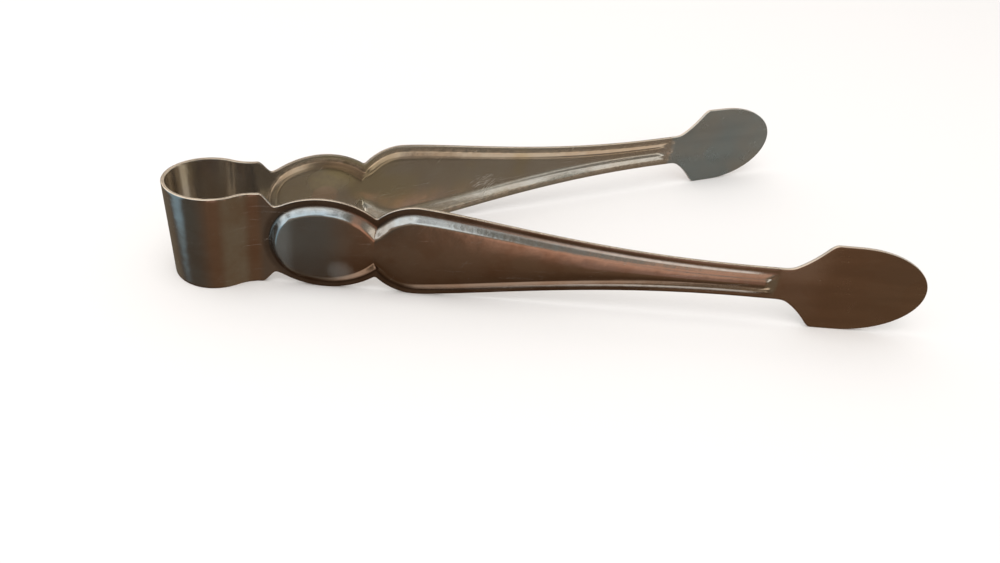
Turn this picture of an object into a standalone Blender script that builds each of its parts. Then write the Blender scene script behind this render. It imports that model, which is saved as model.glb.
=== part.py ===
"""Bow tongs, cut, pressed and bent from one strip of plated sheet.

Each arm is pressed outwards into a raised panel inside a flat border: a rounded boss by the bow, then a
long handle that tapers to a narrow neck, with a flat leaf-shaped tip past it. The plain middle of the
strip is bent round into the spring bow, which gives along its whole length when the arms are squeezed.
It is divided at flexure lines, and each stretch of strip between two lines turns about them.

Metres, +Z up. +X runs from the bow to the tips, the strip's width stands along Z, and the origin is on
the ground under the middle of the tongs.
"""

import math

import bmesh
import bpy

# Strip
STRIP_WIDTH = 0.0220
SHEET_THICKNESS = 0.0008

# Plan of one side, along the middle of the sheet
BOW_RADIUS = 0.0090
BOW_TURN_IN = math.radians(28.7)  # how far a side of the bow turns past parallel
ROOT_BEND_RADIUS = 0.0088  # the bend the other way, from the bow into the arm
ROOT_STRAIGHT = 0.0027  # from the end of that bend to the first waist
ARM_SPLAY = math.radians(12.83)
TIP_TURN = math.radians(0.55)  # how far the neck turns the tip in
FLEX_GAP = 0.0003
FLEX_LINES = 2  # on each side of the crown

# Outline of an arm, as runs that follow each other from the first waist; the taper takes what is left
ARM_LENGTH = 0.1446
SHOULDER_RUN = 0.0036  # from the bow's full width down to the first waist
FIRST_WAIST = 0.0161
BOSS_RISE = 0.0102
BOSS_FALL = 0.0110
SECOND_WAIST = 0.0145
HANDLE_RISE = 0.0088
TAPER_LEAN = 0.665  # under 1, more of the taper lies near the bow
NECK_WIDTH = 0.0081
NECK_LENGTH = 0.0078
FLARE_LENGTH = 0.0078
FLARE_HOLLOW = 0.0008
TIP_SIDE = 0.0060  # straight sides of the leaf
TIP_ROUND = 0.0183  # length of its half-ellipse end

# Raised panel
BORDER = 0.0015
BEVEL = 0.00175
NECK_BEVEL = 0.0011
PANEL_DEPTH = 0.00115
NECK_DEPTH = 0.0005
PANEL_CROWN = 0.0003
PANEL_WAIST_ROUND = 0.0048  # how far apart the panel's two arcs start to run into each other at the second waist
BOSS_END_REACH = 0.0014  # how far the boss's round end reaches back past the first waist
BOSS_END_RADIUS = 0.0095
BOSS_END_BEVEL = 0.0015
PANEL_STOP = 0.0053  # from the start of the neck to the square end of the panel
STOP_BEVEL = 0.0024

# Facets
BEND_STEP = 0.0010
ROOT_STEP = 0.0006
EDGE_STEP = 0.0014
TAPER_STEP = 0.0045
TIP_FACETS = 11
FACE_ROWS = 3  # across each half of the panel's face
MERGE = 1e-7

# Finish
BOW_COLOUR = (0.34, 0.33, 0.31)
FRONT_COLOUR = (0.33, 0.27, 0.22)
REAR_COLOUR = (0.38, 0.36, 0.32)
ROUGHNESS = 0.22

# Worked out from the sizes above: half sizes, and distances along an arm from its first waist
HALF_STRIP = STRIP_WIDTH / 2
HALF_SHEET = SHEET_THICKNESS / 2
HALF_NECK = NECK_WIDTH / 2
SECOND_WAIST_AT = BOSS_RISE + BOSS_FALL
HANDLE_AT = SECOND_WAIST_AT + HANDLE_RISE
ROUND_AT = ARM_LENGTH - TIP_ROUND
CORNER_AT = ROUND_AT - TIP_SIDE
FLARE_AT = CORNER_AT - FLARE_LENGTH
NECK_AT = FLARE_AT - NECK_LENGTH

# Plan of one side from the crown of the bow, as runs of strip and the angle that each one turns
PLAN = (
    (BOW_RADIUS * (math.pi / 2 + BOW_TURN_IN), -(math.pi / 2 + BOW_TURN_IN)),
    (ROOT_BEND_RADIUS * (BOW_TURN_IN + ARM_SPLAY), BOW_TURN_IN + ARM_SPLAY),
    (ROOT_STRAIGHT + NECK_AT, 0.0),
    (NECK_LENGTH, -TIP_TURN),
    (ARM_LENGTH - FLARE_AT, 0.0),
)
WAIST_AT = PLAN[0][0] + PLAN[1][0] + ROOT_STRAIGHT
FREE_BOW = WAIST_AT - BOSS_END_REACH


def plan(distance):
    """Place and heading of the sheet's middle on the +Y side, that far along the strip from the crown."""
    x = -BOW_RADIUS
    y = 0.0
    heading = math.pi / 2
    for run, turn in PLAN:
        step = min(distance, run)
        if turn:
            radius = run / turn
            ahead = heading + step / radius
            x += radius * (math.sin(ahead) - math.sin(heading))
            y += radius * (math.cos(heading) - math.cos(ahead))
            heading = ahead
        else:
            x += step * math.cos(heading)
            y += step * math.sin(heading)
        distance -= step
    return x, y, heading


def middle():
    """How far the middle of the tongs' length lies from the centre of the bow."""
    x, _, heading = plan(WAIST_AT + ARM_LENGTH)
    return (x + HALF_SHEET * math.sin(heading) - BOW_RADIUS - HALF_SHEET) / 2


def lobe_edge(offset, run, drop, inset):
    """Half-width of a lobe: an arc that touches the strip's edge and falls by drop in run, set in by inset."""
    radius = (run * run + drop * drop) / (2 * drop)
    reach = max((radius - inset) ** 2 - offset * offset, 0.0)
    return HALF_STRIP - radius + math.sqrt(reach)


def soft_max(a, b, width):
    """The larger of two sizes, rounded where they differ by less than width."""
    near = max(width - abs(a - b), 0.0)
    return max(a, b) + near * near / (4.0 * max(width, MERGE))


def half_width(along, inset=0.0):
    """Half-width of an arm's outline, or of a line set in from it, that far past the first waist."""
    if along < 0.0:
        share = max(1.0 + along / SHOULDER_RUN, 0.0)
        fall = (HALF_STRIP - FIRST_WAIST / 2) * (1.0 - math.cos(math.pi * share)) / 2
        return HALF_STRIP - fall - inset
    if along < HANDLE_AT:
        second_drop = HALF_STRIP - SECOND_WAIST / 2
        if along < BOSS_RISE:
            boss = lobe_edge(along - BOSS_RISE, BOSS_RISE, HALF_STRIP - FIRST_WAIST / 2, inset)
        else:
            boss = lobe_edge(along - BOSS_RISE, BOSS_FALL, second_drop, inset)
        handle = lobe_edge(along - HANDLE_AT, HANDLE_RISE, second_drop, inset)
        inside = min(max((inset - BORDER) / BEVEL, 0.0), 1.0)
        return soft_max(boss, handle, PANEL_WAIST_ROUND * inside)
    if along < FLARE_AT:
        share = min((along - HANDLE_AT) / (NECK_AT - HANDLE_AT), 1.0)
        ease = math.cos(math.pi / 2 * share**TAPER_LEAN) ** 2
        return HALF_NECK + (HALF_STRIP - HALF_NECK) * ease - inset
    if along < CORNER_AT:
        share = (along - FLARE_AT) / FLARE_LENGTH
        hollow = 4 * FLARE_HOLLOW * share * (1.0 - share)
        return HALF_NECK + (HALF_STRIP - HALF_NECK) * share - hollow - inset
    share = max((along - ROUND_AT) / TIP_ROUND, 0.0)
    return (HALF_STRIP - inset) * math.sqrt(max(1.0 - share * share, 0.0))


def bevel_width(along):
    """Width of the bevel at the panel's sides, which narrows from the handle's widest place to the neck."""
    fade = min(max((along - HANDLE_AT) / (NECK_AT - HANDLE_AT), 0.0), 1.0)
    return BEVEL + (NECK_BEVEL - BEVEL) * fade


def lift(along, across):
    """How far the panel is pressed out: a bevel inside the border, then a crowned face.

    The boss end is round, and the neck end is square with a longer slope.
    """
    stop = NECK_AT + PANEL_STOP
    if along > stop:
        return 0.0
    foot = half_width(along, BORDER)
    top = half_width(along, BORDER + bevel_width(along))
    rise = min((foot - abs(across)) / (foot - top), (stop - along) / STOP_BEVEL)
    boss_end = BOSS_END_RADIUS - BOSS_END_REACH
    if along < boss_end:
        out = math.hypot(along - boss_end, across)
        rise = min(rise, (BOSS_END_RADIUS - out) / BOSS_END_BEVEL)
    rise = min(max(rise, 0.0), 1.0)
    fade = min(max((along - HANDLE_AT) / (stop - HANDLE_AT), 0.0), 1.0)
    depth = PANEL_DEPTH + (NECK_DEPTH - PANEL_DEPTH) * fade
    crown = PANEL_CROWN * max(1.0 - (across / top) ** 2, 0.0)
    return (depth + crown) * rise * rise * (3.0 - 2.0 * rise)


def spread(start, stop, step):
    """Even places from start up to, but not including, stop."""
    count = max(math.ceil((stop - start) / step), 1)
    return [start + (stop - start) * i / count for i in range(count)]


def bow_section(_):
    """Section of the plain bow, as places across the strip and how far each is pressed out."""
    return [(-HALF_STRIP, 0.0), (HALF_STRIP, 0.0)]


def arm_section(distance):
    """Section of an arm: its edges, the foot and top of the bevel, and rows across the panel's face."""
    along = distance - WAIST_AT
    top = half_width(along, BORDER + bevel_width(along))
    half = [top * i / FACE_ROWS for i in range(FACE_ROWS + 1)]
    half += [half_width(along, BORDER), half_width(along)]
    across = [-z for z in reversed(half[1:])] + half
    return [(z, lift(along, z)) for z in across]


def arm_stations(start):
    """Distances from the crown at which an arm has a section, closer where its outline or panel turns."""
    keys = (
        (start - WAIST_AT, -SHOULDER_RUN, BEND_STEP),
        (-SHOULDER_RUN, BOSS_END_REACH, ROOT_STEP),
        (BOSS_END_REACH, SECOND_WAIST_AT, EDGE_STEP),
        (SECOND_WAIST_AT, HANDLE_AT, EDGE_STEP),
        (HANDLE_AT, NECK_AT, TAPER_STEP),
        (NECK_AT, FLARE_AT, EDGE_STEP),
        (FLARE_AT, CORNER_AT, EDGE_STEP),
        (CORNER_AT, ROUND_AT, TAPER_STEP),
    )
    along = []
    for near, far, step in keys:
        along += spread(near, far, step)
    for i in range(TIP_FACETS + 1):
        along.append(ROUND_AT + TIP_ROUND * math.sin(math.pi / 2 * i / TIP_FACETS))
    return [WAIST_AT + a for a in along]


def ring(mesh, side, distance, section, pivot):
    """Vertices round the sheet at one station: up the outer face and back down the inner one.

    A distance under zero lies past the crown, on the other side of the bow.
    """
    x, y, heading = plan(abs(distance))
    if distance < 0.0:
        side = -side
    faces = []
    for half in (HALF_SHEET, -HALF_SHEET):
        face = []
        for across, out in section(distance):
            place = (
                x - math.sin(heading) * (half + out) - pivot[0],
                side * (y + math.cos(heading) * (half + out)) - pivot[1],
                across,
            )
            face.append(mesh.verts.new(place))
        faces.append(face)
    return faces[0] + faces[1][::-1]


def cap(mesh, loop):
    """Close the cut end of a stretch of strip, from each outer vertex to the inner one behind it."""
    last = len(loop) - 1
    for i in range(len(loop) // 2 - 1):
        mesh.faces.new((loop[i], loop[i + 1], loop[last - i - 1], loop[last - i]))


def strip_piece(name, side, stations, section, parent, finish):
    """Loft the strip through its stations, as one closed object on its parent's axis."""
    mesh = bmesh.new()
    pivot = parent.matrix_world.translation
    offset = (middle() + pivot.x, pivot.y)
    rings = [ring(mesh, side, s, section, offset) for s in stations]
    for near, far in zip(rings, rings[1:]):
        for i in range(len(near)):
            j = (i + 1) % len(near)
            mesh.faces.new((near[i], near[j], far[j], far[i]))
    cap(mesh, rings[0])
    cap(mesh, rings[-1])
    bmesh.ops.remove_doubles(mesh, verts=mesh.verts, dist=MERGE)
    bmesh.ops.recalc_face_normals(mesh, faces=mesh.faces)
    data = bpy.data.meshes.new(name)
    mesh.to_mesh(data)
    mesh.free()
    data.materials.append(finish)
    piece = bpy.data.objects.new(name, data)
    piece.parent = parent
    bpy.context.scene.collection.objects.link(piece)
    return piece


def plated(name, colour):
    """Plated sheet metal as a Principled BSDF."""
    finish = bpy.data.materials.new(name)
    finish.use_nodes = True
    shader = finish.node_tree.nodes["Principled BSDF"]
    shader.inputs["Base Color"].default_value = (*colour, 1.0)
    shader.inputs["Metallic"].default_value = 1.0
    shader.inputs["Roughness"].default_value = ROUGHNESS
    return finish


def empty(name, place, parent=None):
    """An axis along Z for pieces to sit on, at a place in the tongs' own frame."""
    axis = bpy.data.objects.new(name, None)
    bpy.context.scene.collection.objects.link(axis)
    axis.parent = parent
    axis.location = place
    if parent:
        axis.matrix_parent_inverse = parent.matrix_world.inverted()
    bpy.context.view_layer.update()
    return axis


def flexure(name, side, distance, parent):
    """Axis of a flexure line, in the middle of the sheet."""
    x, y, _ = plan(distance)
    return empty(name, (x - middle(), side * y, HALF_STRIP), parent)


def build():
    """Make the back of the bow, and then each side's cheek and arm on its flexure lines."""
    for thing in list(bpy.data.objects):
        bpy.data.objects.remove(thing)
    lines = [FREE_BOW * (i + 0.5) / FLEX_LINES for i in range(FLEX_LINES)]
    half_gap = FLEX_GAP / 2
    tongs = empty("tongs", (0.0, 0.0, HALF_STRIP))
    back = lines[0] - half_gap
    back_stations = spread(-back, back, BEND_STEP) + [back]
    strip_piece("bow_back", 1, back_stations, bow_section, tongs, plated("bow_back_metal", BOW_COLOUR))
    for end, side, colour in (("front", -1, FRONT_COLOUR), ("rear", 1, REAR_COLOUR)):
        bow_flex = flexure(f"{end}_bow_flex", side, lines[0], tongs)
        arm_flex = flexure(f"{end}_arm_flex", side, lines[1], bow_flex)
        cheek = (lines[0] + half_gap, lines[1] - half_gap)
        cheek_stations = spread(*cheek, BEND_STEP) + [cheek[1]]
        cheek_finish = plated(f"{end}_bow_cheek_metal", BOW_COLOUR)
        strip_piece(f"{end}_bow_cheek", side, cheek_stations, bow_section, bow_flex, cheek_finish)
        stations = arm_stations(lines[1] + half_gap)
        strip_piece(f"{end}_arm", side, stations, arm_section, arm_flex, plated(f"{end}_arm_metal", colour))


build()
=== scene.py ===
"""Bow tongs of plated sheet, dressed for a studio picture.

The whole strip is one sheet on the real tongs, so it is drawn here as four closed stretches of the same
sheet, which meet edge to edge at the crown of the bow and half way along each cheek. Each stretch spans one
flexure line and bends across it.
"""

import math
from types import SimpleNamespace

import bmesh
import bpy
import numpy as np
from bpy.props import FloatProperty, FloatVectorProperty, IntProperty, PointerProperty
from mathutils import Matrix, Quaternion, Vector


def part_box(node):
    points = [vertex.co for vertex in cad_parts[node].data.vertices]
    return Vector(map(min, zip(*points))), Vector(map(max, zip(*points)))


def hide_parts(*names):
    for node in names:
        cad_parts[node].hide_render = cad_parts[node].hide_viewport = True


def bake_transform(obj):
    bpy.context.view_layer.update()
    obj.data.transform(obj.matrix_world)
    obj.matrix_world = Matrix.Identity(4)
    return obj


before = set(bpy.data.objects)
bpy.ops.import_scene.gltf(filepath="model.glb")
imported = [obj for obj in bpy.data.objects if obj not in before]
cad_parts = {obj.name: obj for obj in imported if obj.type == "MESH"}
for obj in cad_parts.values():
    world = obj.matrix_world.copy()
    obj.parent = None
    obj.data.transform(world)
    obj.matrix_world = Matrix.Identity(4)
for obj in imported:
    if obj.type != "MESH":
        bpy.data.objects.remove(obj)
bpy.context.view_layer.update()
STRIP_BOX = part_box("bow_back")

bl_info = {
    "name": "Bow tongs",
    "version": (1, 0, 0),
    "blender": (4, 5, 0),
    "location": "3D View > Sidebar > Tongs",
    "description": "Draws the sheet metal, the finish and the studio of a pair of bow tongs",
    "category": "Object",
}

FINISH = "aged_plate_and_painted_light"

# The two sides of the tongs, and which way each lies along Y
SIDES = (("front", -1.0), ("rear", 1.0))

# What the mesh tells the finish about each of its points
MARKS = ("ridge", "bevel", "boss", "haze_and_reflection", "margin", "cut", "leaf", "inside")

# Points closer than this, in metres, become one, and the panel's maths divides by no less
MERGE = 2e-7

# Edges that turn further than this stay sharp
CREASE = math.radians(50.0)

# Well above the top of any slope, in widths of the slope
FAR_UP = 9.0

# How far the flare's line is carried past its ends, as a share of it
FLARE_OVERRUN = 0.3

# Least share of a waist's rounding, where the outline is set in
LEAST_ROUND = 0.1

# Where the front of the room begins and where it is full, along Y
FRONT = (-0.45, -0.75)


def maker(kind, **form):
    """A short way to write properties of one kind and form: by name, description and default."""

    def make(name, description, default):
        return kind(name=name, description=description, default=default, **form)

    return make


# Plain numbers, whole numbers, shares from 0 to 1 and angles
amount = maker(FloatProperty)
count = maker(IntProperty, min=1)
share = maker(FloatProperty, min=0.0, max=1.0, subtype="FACTOR")
angle = maker(FloatProperty, subtype="ANGLE", unit="ROTATION")

# Lengths in metres, alone, in twos and in fours, and points in the tongs' frame
length = maker(FloatProperty, precision=5, unit="LENGTH")
pair = maker(FloatVectorProperty, size=2, precision=5, unit="LENGTH")
four = maker(FloatVectorProperty, size=4, precision=5, unit="LENGTH")
place = maker(FloatVectorProperty, size=3, precision=5, subtype="TRANSLATION", unit="LENGTH")

# Colours in linear light
colour = maker(FloatVectorProperty, size=3, subtype="COLOR")


class TongsStrip(bpy.types.PropertyGroup):
    """Sizes of the strip: its plan, its outline, its pressed panel and the fineness of the drawn sheet."""

    strip_width: length("Strip width", "Full width of the sheet", STRIP_BOX[1].z - STRIP_BOX[0].z)
    sheet: length("Sheet", "Thickness of the sheet", 0.0008)
    edge_round: length("Edge round", "Radius on the corners of the cut edge", 0.00014)

    bow_radius: length("Bow radius", "Radius of the bow, along the middle of the sheet", 0.0090)
    bow_turn_in: angle("Bow turn-in", "How far a bow's side turns past parallel", math.radians(28.7))
    root_radius: length("Root radius", "Radius of the bend from the bow into the arm", 0.0088)
    root_straight: length("Root straight", "From the end of that bend to the first waist", 0.0027)
    arm_splay: angle("Arm splay", "Angle of an arm to the middle of the tongs", math.radians(12.83))
    tip_turn: angle("Tip turn", "How far the neck turns the tip in", math.radians(0.55))
    bow_lean: angle("Bow lean", "How far the back of the bow leans out at its top", math.radians(3.0))
    lean_start: share("Lean start", "Share of the way from first waist to crown where it starts", 1.0 / 3.0)

    arm_length: length("Arm length", "From the first waist to the end of the tip", 0.1446)
    shoulder_run: length("Shoulder", "From the bow's full width down to the first waist", 0.0036)
    first_waist: length("First waist", "Width between the bow and the boss", 0.0161)
    boss_rise: length("Boss rise", "From the first waist to the boss's widest place", 0.0102)
    boss_fall: length("Boss fall", "From there to the second waist", 0.0110)
    second_waist: length("Second waist", "Width between the boss and the handle", 0.0145)
    handle_rise: length("Handle rise", "From the second waist to the handle's widest place", 0.0088)
    taper_lean: amount("Taper lean", "Under 1, more of the taper lies near the bow", 0.665)
    neck_width: length("Neck width", "Width of the neck", 0.0081)
    neck_length: length("Neck length", "Length of the neck", 0.0078)
    flare_length: length("Flare length", "From the neck to the corners of the leaf", 0.0078)
    flare_hollow: length("Flare hollow", "How far the flare's edges curve in", 0.0008)
    tip_side: length("Tip side", "Length of the straight sides of the leaf", 0.0060)
    tip_round: length("Tip round", "Length of the half-ellipse at the end of the leaf", 0.0183)
    waist_round: length("Waist round", "How far apart two arcs start to merge at a waist", 0.0009)
    panel_waist_round: length("Panel waist round", "The same for the panel inside its slope", 0.0048)
    neck_round: length("Neck round", "The same where the neck runs into the leaf", 0.0007)
    corner_round: length("Corner round", "The same at the leaf's corners", 0.0013)

    border: length("Border", "Flat border outside the panel", 0.0015)
    bevel: length("Bevel", "Width of the slope from the border up to the panel", 0.00175)
    neck_bevel: length("Neck bevel", "Width of that slope at the neck", 0.0011)
    stop_bevel: length("Stop bevel", "Length of the slope at the panel's end by the neck", 0.0024)
    inner_start: share("Inner start", "How much sooner the slope starts inside, as a share of it", 0.15)
    inner_spread: share("Inner spread", "How much longer the slope is inside, as a share of it", 0.5)
    inner_waist_round: length("Inner waist round", "How much rounder the panel's waist is inside", 0.0022)
    bevel_round: share("Bevel round", "Share of the slope that each rounded corner takes", 0.22)
    panel_depth: length("Panel depth", "How far the boss and the handle are pressed out", 0.00115)
    neck_depth: length("Neck depth", "How far the panel is pressed out at the neck", 0.0005)
    panel_crown: length("Panel crown", "How far the middle of the panel stands above its sides", 0.00042)
    boss_dome: length("Boss dome", "How much more the middle of the boss stands out", 0.00015)
    boss_end_reach: length("Boss end reach", "How far the boss's end goes past the first waist", 0.0014)
    boss_end_radius: length("Boss end radius", "Radius of that round end", 0.0095)
    boss_end_bevel: length("Boss end bevel", "Width of the slope at that round end", 0.0015)
    boss_end_release: amount("Boss end release", "How fast that round end lets go at its sides", 2.0)
    boss_end_soft: share("Boss end soft", "How softly it runs into the sides, in widths of the slope", 0.35)
    panel_stop: length("Panel stop", "From the start of the neck to the square end of the panel", 0.0053)
    panel_stop_soft: share("Panel stop soft", "How softly that end runs into the sides", 0.5)

    bend_step: length("Bend step", "Spacing of sections round the bow", 0.00030)
    fine_step: length("Fine step", "Spacing of sections where the outline or the panel turns", 0.00013)
    plain_step: length("Plain step", "Spacing of sections along the plain handle", 0.00060)
    seam_step: length("Seam step", "Spacing of the two sections next to a seam", 0.000013)
    tip_steps: count("Tip steps", "Sections round the end of the leaf", 48)
    edge_rows: count("Edge rows", "Steps round a corner of the cut edge", 4)
    border_rows: count("Border rows", "Steps across the border", 2)
    bevel_rows: count("Bevel rows", "Steps across the slope", 12)
    face_rows: count("Face rows", "Steps across half of the panel's face", 18)


class TongsFinish(bpy.types.PropertyGroup):
    """Colours and surface of the plated sheet, among them painted reflections, highlights and shade."""

    plate: colour("Plate", "Clean plated metal", (0.62, 0.575, 0.52))
    tarnish: colour("Tarnish", "Plate browned by age", (0.52, 0.385, 0.28))
    # Painted reflection: the olive tint stands in for how the inner faces mirror the room
    inner_reflection: colour("Inner reflection", "Olive tint on the inside of the arms, a painted reflection", (0.445, 0.40, 0.325))
    # Painted reflection: cool grey inside the leaf and on the outside of the boss, with some haze
    haze_and_reflection: colour("Haze and reflection", "Cool grey haze and painted reflection inside the tips and outside the boss", (0.28, 0.395, 0.44))
    # Painted reflection: yellow patches for what the inside of the boss mirrors
    yellow_reflection: colour("Yellow reflection", "Painted yellow reflection on the inside", (0.52, 0.44, 0.26))
    # Real rubbed metal, and also painted highlight on crests, lit slopes and the leaf by its root
    rubbed_metal_and_highlight: colour("Rubbed metal and highlight", "Warm metal on rubbed ridges, and painted highlight on crests, lit slopes and the leaf", (0.84, 0.71, 0.58))
    # Real dirt, and also the painted shade on the border, bends and slopes
    grime_and_shade: colour("Grime and shade", "Dull dirt in the grooves and pits, and painted shade on borders, bends and slopes", (0.10, 0.07, 0.05))
    cut: colour("Cut edge", "Bare metal of the cut edge", (0.82, 0.74, 0.65))
    # Painted highlight at the foot of the slope by the neck; scuffs take the same pale colour
    foot_highlight: colour("Foot highlight", "Painted highlight at the foot of the slope beside the neck, also used for scuffs", (0.66, 0.60, 0.53))
    gloss: share("Gloss roughness", "Roughness of the polished sheet", 0.11)
    satin: share("Satin roughness", "Roughness of the leaf-shaped tips", 0.21)
    dents: length("Dents", "Depth of the slow waves left by the press and by use", 0.00010)
    grain: length("Grain", "Depth of the fine grain and of the scratches", 0.0000035)


class TongsWearAndLight(bpy.types.PropertyGroup):
    """Where rubbing, dirt and painted light change the finish, along the strip from the crown of the bow
    and across it from its middle.

    Two lengths are where a thing is nothing and where it is full. Four are where it starts, is full, starts
    to fade and has ended. The last three are patches: their middle and their reach, along and across.
    """

    upper: pair("Upper half", "Across the strip, where its upper half begins", (0.0, 0.003))
    groove_end: pair("Groove end", "Where the dirt in the groove runs out, by the neck", (0.136, 0.132))
    # Painted reflection: the inner tint turns brown towards the neck
    neck: pair("Neck", "Where the painted inner reflection turns brown", (0.095, 0.125))
    # Painted light on the outside of the leaf by its root, more on its upper half
    lit_leaf_root: pair("Leaf root", "Where the outside of the leaf has painted light", (0.151, 0.143))
    # Painted shade on the slope at the boss's round end
    boss_end: pair("Boss end", "Where the slope at the boss's round end has painted shade", (0.0296, 0.0284))
    # Where the darker inner half of the cut edge fades out
    plain_rim: pair("Plain rim", "Where the darkening of the inner half of the cut edge fades", (0.05, 0.08))
    # Painted highlight at the foot of the slope by the neck
    foot_highlight: four("Foot highlight", "Painted highlight at the foot of the slope", (0.055, 0.115, 0.130, 0.138))
    # Painted highlight on the upper slope by the neck
    lit_slope: four("Lit slope", "Painted highlight on the upper slope by the neck", (0.085, 0.12, 0.1345, 0.1365))
    # Painted shade inside the bend from the bow into the arm
    root: four("Root", "Painted shade inside the bend from the bow into the arm", (0.018, 0.022, 0.027, 0.030))
    # Painted shade on the upper slope inside the boss
    shaded_slope: four("Shaded slope", "Painted shade on the upper slope inside the boss", (0.034, 0.042, 0.048, 0.052))
    # Painted reflection: a yellow patch inside the boss
    yellow_reflection: four("Yellow reflection", "Painted yellow reflection inside the boss", (0.0418, 0.0036, 0.0068, 0.0042))
    # Painted reflection: a copper-coloured patch inside the boss
    copper_reflection: four("Copper reflection", "Painted copper reflection inside the boss", (0.0397, -0.0004, 0.0036, 0.0028))
    scuff: four("Scuffs", "Cluster of scuffs inside the handle", (0.081, -0.002, 0.0042, 0.0024))


class TongsStage(bpy.types.PropertyGroup):
    """Camera, floor and light."""

    camera_place: place("Camera", "Where the camera stands", (-0.06083, -0.17598, 0.11874))
    camera_aim: place("Aim", "Point on the floor in the middle of the picture", (-0.00953, -0.01148, 0.0))
    camera_roll: angle("Roll", "Turn of the camera about its line of sight", math.radians(7.49))
    lens: amount("Lens", "Focal length in millimetres", 32.472)
    sensor: amount("Sensor", "Width of the camera's sensor in millimetres", 36.0)
    nearest: length("Nearest", "Nearest distance that the camera draws", 0.005)
    floor: colour("Floor", "Pale floor", (0.78, 0.755, 0.735))
    floor_size: length("Floor size", "Width of the floor", 12.0)
    lamp_place: place("Lamp place", "Where the overhead lamp hangs", (-0.3, -0.2, 1.0))
    lamp_size: length("Lamp size", "Width of the overhead lamp", 1.2)
    lamp_power: amount("Lamp", "Power of the overhead lamp, in watts", 7.0)
    studio: colour("Studio", "Plain soft light on what is matt, and the backdrop", (0.93, 0.93, 0.93))

    room: colour("Room", "Warm ground in front, mirrored by the sheet", (0.138, 0.080, 0.047))
    deep: colour("Deep ground", "Darker ground nearer to the tongs", (0.070, 0.038, 0.020))
    slate: colour("Left of the room", "Greyer ground on the left", (0.085, 0.080, 0.070))
    olive: colour("Right of the room", "Olive ground on the right", (0.165, 0.128, 0.088))
    far_ground: colour("Far ground", "Ground behind the tongs", (0.15, 0.125, 0.095))
    blind: colour("Blind", "Cool streak low on the left", (0.27, 0.40, 0.50))
    wall: colour("Wall", "Pale wall far on the right", (0.52, 0.47, 0.39))
    glow: colour("Glow", "Copper-coloured light along the front, below eye level", (0.30, 0.18, 0.14))
    copper: colour("Copper light", "The same at eye level, where it is brightest", (0.65, 0.37, 0.27))
    table: colour("Table", "Pale table close under the tongs", (0.50, 0.37, 0.29))
    table_right: colour("Table on the right", "The same where more light falls on it", (0.90, 0.76, 0.60))
    skirting: colour("Low light", "Dim warm light just above eye level", (0.24, 0.19, 0.145))
    sky: colour("Window", "Cool soft light from above", (1.05, 1.22, 1.36))
    viewer: colour("Viewer", "Grey shape on the right that keeps the window off", (0.175, 0.185, 0.175))
    porch: colour("Window on the right", "Plain pale light on the right", (1.05, 1.10, 1.10))
    far_window: colour("Far window", "Small bright window straight to the right", (2.4, 2.4, 2.25))
    ceiling: colour("Ceiling", "Dark strip of the ceiling", (0.036, 0.022, 0.014))
    shade: colour("Back of the room", "Dark wall behind, and between the panes", (0.078, 0.058, 0.043))
    shelf: colour("High light", "Cream light on the ceiling and high up behind", (1.28, 1.16, 1.00))


def marks_of(strip):
    """Distances and half sizes that follow from the strip's sizes.

    Those along an arm run from its first waist. The plan lists runs of strip and the angle that each turns.
    """
    m = SimpleNamespace()
    m.half_strip = strip.strip_width / 2
    m.half_sheet = strip.sheet / 2
    m.half_neck = strip.neck_width / 2
    m.first_drop = m.half_strip - strip.first_waist / 2
    m.second_drop = m.half_strip - strip.second_waist / 2
    m.second_waist = strip.boss_rise + strip.boss_fall
    m.handle = m.second_waist + strip.handle_rise
    m.round = strip.arm_length - strip.tip_round
    m.corner = m.round - strip.tip_side
    m.flare = m.corner - strip.flare_length
    m.neck = m.flare - strip.neck_length
    m.stop = m.neck + strip.panel_stop
    m.boss_end = strip.boss_end_radius - strip.boss_end_reach
    bow_turn = math.pi / 2 + strip.bow_turn_in
    root_turn = strip.bow_turn_in + strip.arm_splay
    m.plan = (
        (strip.bow_radius * bow_turn, -bow_turn),
        (strip.root_radius * root_turn, root_turn),
        (strip.root_straight + m.neck, 0.0),
        (strip.neck_length, -strip.tip_turn),
        (strip.arm_length - m.flare, 0.0),
    )
    m.waist = m.plan[0][0] + m.plan[1][0] + strip.root_straight
    m.free_bow = m.waist - strip.boss_end_reach
    m.cheek_middle = m.free_bow / 2
    m.middle = 0.0
    x, _, heading = plan_line(strip, m, np.array([m.waist + strip.arm_length]))
    m.middle = float(x[0] + m.half_sheet * math.sin(heading[0]) - strip.bow_radius - m.half_sheet) / 2
    return m


def plan_line(strip, m, distance):
    """Plan of the +Y side at each distance from the crown: x, y and heading of the middle of the sheet.

    Along a run that turns, the heading grows evenly, x by r (sin h - sin h0) and y by r (cos h0 - cos h),
    with r the run over its turn. Along a straight run, x and y grow by the step times the heading's cosine
    and sine.
    """
    x = np.full_like(distance, -strip.bow_radius - m.middle)
    y = np.zeros_like(distance)
    heading = np.full_like(distance, math.pi / 2)
    left = distance
    for run, turn in m.plan:
        step = np.clip(left, 0.0, run)
        if turn:
            radius = run / turn
            ahead = heading + step / radius
            x = x + radius * (np.sin(ahead) - np.sin(heading))
            y = y + radius * (np.cos(heading) - np.cos(ahead))
            heading = ahead
        else:
            x = x + step * np.cos(heading)
            y = y + step * np.sin(heading)
        left = left - step
    return x, y, heading


def soft_max(a, b, width):
    """The larger of a and b, plus (width - |a - b|)^2 / (4 width) where they differ by less than width."""
    near = np.maximum(width - np.abs(a - b), 0.0)
    return np.maximum(a, b) + near * near / (4.0 * width)


def soft_min(a, b, width):
    """The smaller of a and b, rounded in the same way."""
    return -soft_max(-a, -b, width)


def portion(value, none, full):
    """0 at none, 1 at full, even between them and held beyond."""
    return np.clip((value - none) / (full - none), 0.0, 1.0)


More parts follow.
